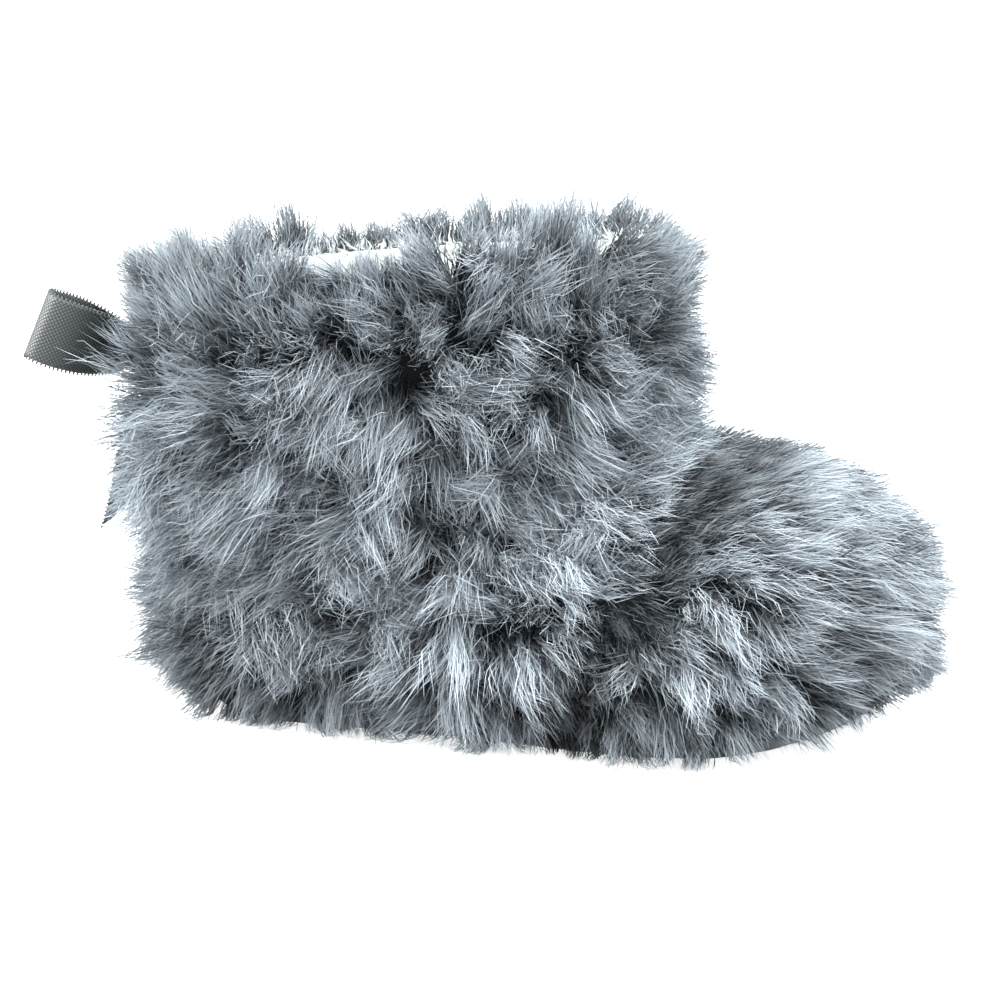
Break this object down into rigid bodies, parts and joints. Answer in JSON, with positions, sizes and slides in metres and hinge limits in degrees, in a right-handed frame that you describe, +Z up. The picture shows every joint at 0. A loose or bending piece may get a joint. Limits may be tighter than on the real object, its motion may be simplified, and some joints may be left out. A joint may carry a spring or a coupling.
{
  "type": "bootie slipper",
  "caption": "Baby's ankle-high bootie slipper of long faux fur, with a soft sole, an open collar and a satin ribbon bow at the back.",
  "frame": {"origin": "on the floor under the middle of the sole", "axes": "+X from the heel to the toe, +Y to the wearer's left, +Z up out of the foot bed"},
  "size_m": [0.1373, 0.0734, 0.0734],
  "materials": {
    "suede": "brushed suede cloth, matte",
    "fleece": "white fleece, soft and matte",
    "faux_fur": "long grey pile with light tips",
    "satin_ribbon": "grey satin with a soft sheen"
  },
  "bodies": {
    "root": {"outsole": "suede", "insole": "fleece", "upper": "fleece", "fur_vamp": "faux_fur", "fur_shaft": "faux_fur", "bow_knot": "satin_ribbon", "bow_loop_right": "satin_ribbon", "bow_loop_left": "satin_ribbon", "bow_tail_right": "satin_ribbon", "bow_tail_left": "satin_ribbon"}
  },
  "joints": []
}
